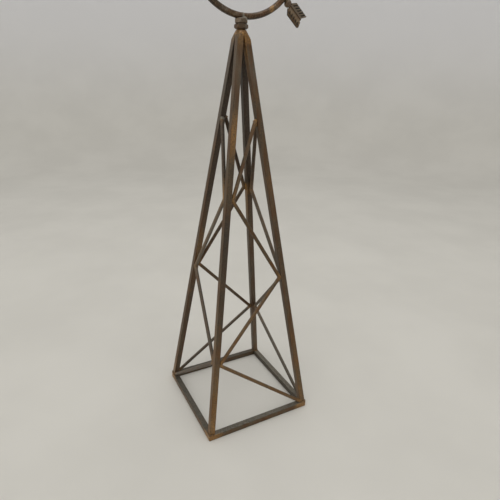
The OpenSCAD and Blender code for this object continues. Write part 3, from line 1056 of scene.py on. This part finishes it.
def feather(angle, bow, tip_r, rib_reach):
    """One cast feather: a plate swept back at both ends, with a rail at its root and slanted ribs.

    bow below 1 fills out the rear end near the root, tip_r rounds its outer corner, and the ribs reach out
    to a share of its height.
    """
    long = 140
    high = 44
    ribs = 6
    root = 4 * MM
    clear = BALL_R + 1.2 * MM
    plate = 1.2 * MM
    proud = 1.75 * MM
    edge_r = 1.4 * MM
    turned = ARROW @ Matrix.Rotation(math.radians(angle), 4, "X")
    sheets = [[], []]
    for i in range(long + 1):
        for k in range(high + 1):
            level = k / high
            h = root + (FEATHER_H - root) * level
            # The front edge aims at the ball's centre, clear of the ball
            nose = SWEEP_FRONT * h / FEATHER_H
            front = max(nose, math.sqrt(max(0.0, clear**2 - h**2)))
            tail = FEATHER_LEN + SWEEP_REAR * (h / FEATHER_H) ** bow
            over = max(0.0, h - FEATHER_H + tip_r)
            rear = tail - tip_r + math.sqrt(tip_r**2 - over**2)
            x = front + (rear - front) * i / long
            # What stands proud of the plate: a rail at the root, a bar at the front, ribs and a margin
            rail = max(smooth(h, 9.4 * MM, 8.4 * MM), smooth(x - front, 3.0 * MM, 2.2 * MM))
            wave = math.sin(2 * math.pi * ((x - nose) / (tail - nose) * ribs + 0.6))
            rib = smooth(wave, -0.3, 0.3) * smooth(level, rib_reach + 0.02, rib_reach - 0.05)
            margin = 0.55 * smooth(level, rib_reach, rib_reach + 0.1) * (rib_reach < 0.9)
            thick = plate + proud * max(rail, rib, margin)
            rim = min(x - front, rear - x, FEATHER_H - h)
            thick *= rounded(rim / edge_r, 0.06)
            for sheet, side in zip(sheets, (1, -1)):
                sheet.append(turned @ Vector((BALL_AT + x, side * thick, h)))
    return sheets[0] + sheets[1], slab_faces(long, high)


def slab_faces(rows, columns):
    """Faces of a closed slab: two sheets of rows by columns quads, one after the other, and its rim."""
    width = columns + 1
    count = (rows + 1) * width
    faces = []
    for i in range(rows):
        for k in range(columns):
            a, b = i * width + k, (i + 1) * width + k
            faces.append((a, b, b + 1, a + 1))
            faces.append((count + a, count + a + 1, count + b + 1, count + b))
    ring = list(range(width)) + [i * width + columns for i in range(1, rows + 1)]
    ring += [rows * width + k for k in range(columns - 1, -1, -1)]
    ring += [i * width for i in range(rows - 1, 0, -1)]
    for a, b in zip(ring, ring[1:] + ring[:1]):
        faces.append((a, b, count + b, count + a))
    return faces


def rounded(share, least):
    """Height of a rounded edge, from least at its rim to 1 where share reaches 1."""
    return math.sqrt(max(least, 1 - (1 - min(1.0, share)) ** 2))


def smooth(value, low, high):
    """Smooth step from 0 at low to 1 at high."""
    share = min(1.0, max(0.0, (value - low) / (high - low)))
    return share * share * (3 - 2 * share)


def fused(piece, size):
    """Melts a piece's overlapping shells into one skin, softly, as a casting."""
    remesh = piece.modifiers.new("remesh", "REMESH")
    remesh.mode = "VOXEL"
    remesh.voxel_size = size
    soften = piece.modifiers.new("soften", "SMOOTH")
    soften.factor = 0.5
    soften.iterations = 2
    bpy.context.view_layer.update()
    graph = bpy.context.evaluated_depsgraph_get()
    mesh = bpy.data.meshes.new_from_object(piece.evaluated_get(graph))
    piece.modifiers.clear()
    piece.data = mesh
    mesh.shade_smooth()


def make_fletching(material):
    """The cast tail of the arrow: two ribbed feathers on a sleeve with a rounded end."""
    start = BALL_AT + BALL_R - 0.9 * MM
    sleeve = [
        (start, 4.8 * MM), (start + 1.6 * MM, 5.2 * MM), (start + 3.0 * MM, 4.7 * MM),
        (SLEEVE_END - 1.5 * MM, 4.7 * MM), (SLEEVE_END - 0.3 * MM, 4.0 * MM), (SLEEVE_END, 2.6 * MM),
    ]
    upper = feather(0, 1.0, 2.0 * MM, 1.0)
    lower = feather(180, 0.35, 8.0 * MM, 0.55)
    shape = joined([lathe(sleeve, 48, ARROW), upper, lower])
    piece = new_piece("cast_fletching", *shape, material, "head", "arrow_metal", ["arrow_fletching"])
    fused(piece, 0.5 * MM)


def make_arrow_head(material):
    """The cast point: a flat barbed blade with a ridge along its middle, on a tapered socket."""
    tip = -HEAD_POINT
    back = tip + HEAD_LEN
    barb = HEAD_LEN * 0.2
    rows = 60
    across = 24
    edge_r = 0.9 * MM
    verts = []
    for side in (1, -1):
        for i in range(rows + 1):
            share = i / rows
            wide = HEAD_HALF * share
            for k in range(-across, across + 1):
                level = k / across
                inward = 1 - abs(level)
                x = tip + (back + barb - tip) * share - barb * share * inward**0.8
                thick = (0.9 + 2.6 * inward**1.6 * min(1.0, share * 3)) * MM
                rim = min(inward * max(wide, 0.1 * MM), (1 - share) * HEAD_LEN + 0.2 * MM)
                thick *= rounded(rim / edge_r, 0.05)
                verts.append(ARROW @ Vector((x, side * thick, level * (wide + 0.05 * MM))))
    blade = (verts, slab_faces(rows, 2 * across))
    socket = [
        (back - HEAD_LEN * 0.62, 2.6 * MM), (back - HEAD_LEN * 0.2, 5.2 * MM), (back - 5 * MM, 6.0 * MM),
        (back - 4 * MM, 7.0 * MM), (back - 0.6 * MM, 7.0 * MM), (back, 6.4 * MM),
    ]
    shape = joined([blade, lathe(socket, 40, ARROW)])
    piece = new_piece("cast_point", *shape, material, "head", "arrow_metal", ["arrow_head"])
    fused(piece, 0.6 * MM)


# ---------- floor ----------

def make_floor():
    """A pale floor that curves up into a wall all round, far outside the object."""
    flat = 4.6
    curve = 2.2
    top = 6.5
    steps = 12
    profile = [(0.0, 0.001), (0.0, flat * 0.5), (0.0, flat)]
    for i in range(1, steps + 1):
        turn = math.pi / 2 * i / steps
        profile.append((curve * (1 - math.cos(turn)), flat + curve * math.sin(turn)))
    profile.append((top, flat + curve))
    verts, faces = lathe(profile, 96, Matrix.Rotation(-math.pi / 2, 4, "Y"))
    mesh = bpy.data.meshes.new("floor")
    # The last face would close the room's top
    mesh.from_pydata([tuple(v) for v in verts], [], faces[:-1])
    mesh.shade_smooth()
    mesh.materials.append(floor_material())
    floor = add_object("floor", mesh)
    floor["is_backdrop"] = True
    return floor


make_camera()
make_light(make_floor())

finish_frame()
WELD = weld_material("weld_brown", srgb("#4a3520"), 0.45)
BRIGHT_WELD = weld_material("weld_bright", srgb("#6a4c28"), 2.0)
DULL_WELD = weld_material("weld_dull", srgb("#6c6a5c"), 0, bronze=0.15, light=0.25)
make_rod_welds(WELD, BRIGHT_WELD, DULL_WELD)
make_foot_welds(WELD)
make_tack(WELD)
TIP_WELD = weld_material("weld_tip", srgb("#5f4628"), 0.75, fade=(TIP_Z - 12 * MM, TIP_Z - 3 * MM))
make_tip_weld(TIP_WELD)

NUT = nut_material()
make_stud(NUT)
make_nut("lock_nut_painted", "lock_nut", -27, NUT, "lock_nut")
make_nut("boss_nut_painted", "boss_nut", 3, NUT, "head", saddle=True)

RING_FINISH = ring_material()
CAST = cast_material()
set_material("meridian_ring", RING_FINISH)
set_material("equatorial_ring", RING_FINISH)
set_material("arrow_shaft", RING_FINISH)
make_butt_weld(DULL_WELD)
make_saddle_weld(DULL_WELD)
make_equator_welds(WELD)
make_balls(NUT)
make_fletching(CAST)
make_arrow_head(CAST)


def plain(box):
    """A box's two corners as lists of numbers."""
    return [list(corner) for corner in box]


{"cad": plain(CAD_BOX), "visual": plain(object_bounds())}
